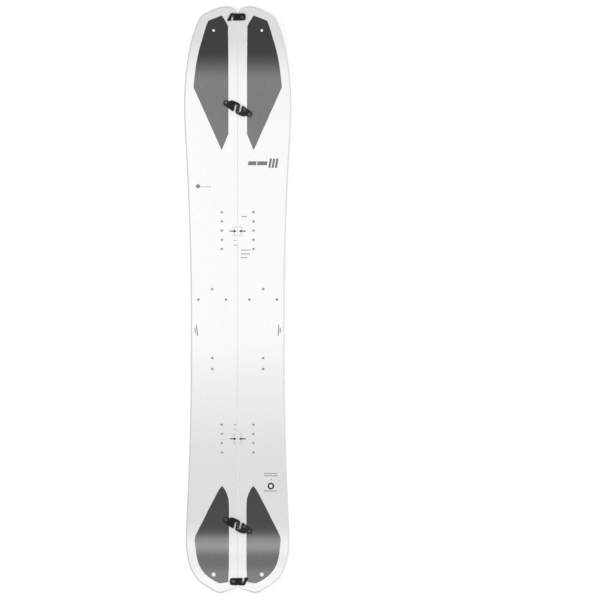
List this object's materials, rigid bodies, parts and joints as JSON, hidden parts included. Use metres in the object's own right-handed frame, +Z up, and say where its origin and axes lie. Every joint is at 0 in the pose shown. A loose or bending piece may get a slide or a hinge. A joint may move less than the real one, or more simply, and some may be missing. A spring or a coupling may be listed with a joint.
{
  "type": "splitboard",
  "caption": "Splitboard, a snowboard that parts lengthwise into two skis, with swinging tip hooks, interlocking hook plates and threaded binding inserts.",
  "frame": {"origin": "centre of the footprint on the snow, at the lowest points of the running base, on the seam line halfway between nose and tail", "axes": "+Y to the nose, +X to the right-hand half seen from above, +Z up off the snow"},
  "size_m": [0.2966, 1.62, 0.068],
  "materials": {
    "topsheet": "gloss",
    "running_base": "structured satin",
    "edge_steel": "ground",
    "glass_laminate": "resin",
    "core_wood": "raw",
    "sidewall_plastic": "satin",
    "insert_steel": "plain",
    "bearing_plastic": "matte",
    "screw_steel": "blackened",
    "black_plate": "satin black"
  },
  "bodies": {
    "left_half": {"left_base_sheet": "running_base", "left_inner_sidewall": "sidewall_plastic", "left_latch_inserts": "insert_steel", "left_lower_laminate": "glass_laminate", "left_nose_spacer": "sidewall_plastic", "left_outer_sidewall": "sidewall_plastic", "left_ride_inserts": "insert_steel", "left_steel_edge": "edge_steel", "left_tail_spacer": "sidewall_plastic", "left_topsheet": "topsheet", "left_tour_inserts": "insert_steel", "left_upper_laminate": "glass_laminate", "left_wood_core": "core_wood", "tail_hook_pivot_screw": "screw_steel", "tail_hook_washer": "bearing_plastic", "nose_hook_catch_post": "screw_steel", "nose_clip_pivot_screw": "screw_steel", "nose_clip_washer": "bearing_plastic", "tail_clip_pivot_screw": "screw_steel", "tail_clip_washer": "bearing_plastic"},
    "right_half": {"right_base_sheet": "running_base", "right_inner_sidewall": "sidewall_plastic", "right_latch_inserts": "insert_steel", "right_lower_laminate": "glass_laminate", "right_nose_spacer": "sidewall_plastic", "right_outer_sidewall": "sidewall_plastic", "right_ride_inserts": "insert_steel", "right_steel_edge": "edge_steel", "right_tail_spacer": "sidewall_plastic", "right_topsheet": "topsheet", "right_tour_inserts": "insert_steel", "right_upper_laminate": "glass_laminate", "right_wood_core": "core_wood", "nose_hook_pivot_screw": "screw_steel", "nose_hook_washer": "bearing_plastic", "tail_hook_catch_post": "screw_steel", "nose_clip_catch": "black_plate", "nose_clip_catch_shim": "bearing_plastic", "nose_clip_catch_screws": "screw_steel", "tail_clip_catch": "black_plate", "tail_clip_catch_shim": "bearing_plastic", "tail_clip_catch_screws": "screw_steel"},
    "nose_hook": {"nose_hook": "black_plate"},
    "tail_hook": {"tail_hook": "black_plate"},
    "nose_clip_hook": {"nose_clip_hook": "black_plate"},
    "tail_clip_hook": {"tail_clip_hook": "black_plate"}
  },
  "joints": [
    {"name": "halves_part", "type": "slide", "parent": "left_half", "child": "right_half", "axis": [1, 0, 0], "range_m": [0, 0.0234]},
    {"name": "nose_hook_swing", "type": "hinge", "parent": "right_half", "child": "nose_hook", "pos_m": [0.0119, 0.781, 0.05862], "axis": [0, 0.342, -0.9397], "range_deg": [0, 150]},
    {"name": "tail_hook_swing", "type": "hinge", "parent": "left_half", "child": "tail_hook", "pos_m": [-0.0119, -0.779, 0.02927], "axis": [0, -0.2588, -0.9659], "range_deg": [0, 150]},
    {"name": "nose_clip_swing", "type": "hinge", "parent": "left_half", "child": "nose_clip_hook", "pos_m": [-0.0323, 0.54349, 0.00775], "axis": [0, 0.0282, 0.9996], "range_deg": [0, 150]},
    {"name": "tail_clip_swing", "type": "hinge", "parent": "left_half", "child": "tail_clip_hook", "pos_m": [-0.0323, -0.60771, 0.00757], "axis": [0, -0.0301, 0.9995], "range_deg": [0, 150]}
  ],
  "couplings": [
    {"joint": "nose_hook_swing", "follows": "halves_part", "rad_per_m": 111.11},
    {"joint": "tail_hook_swing", "follows": "halves_part", "rad_per_m": 111.11},
    {"joint": "nose_clip_swing", "follows": "halves_part", "rad_per_m": 111.11},
    {"joint": "tail_clip_swing", "follows": "halves_part", "rad_per_m": 111.11}
  ]
}
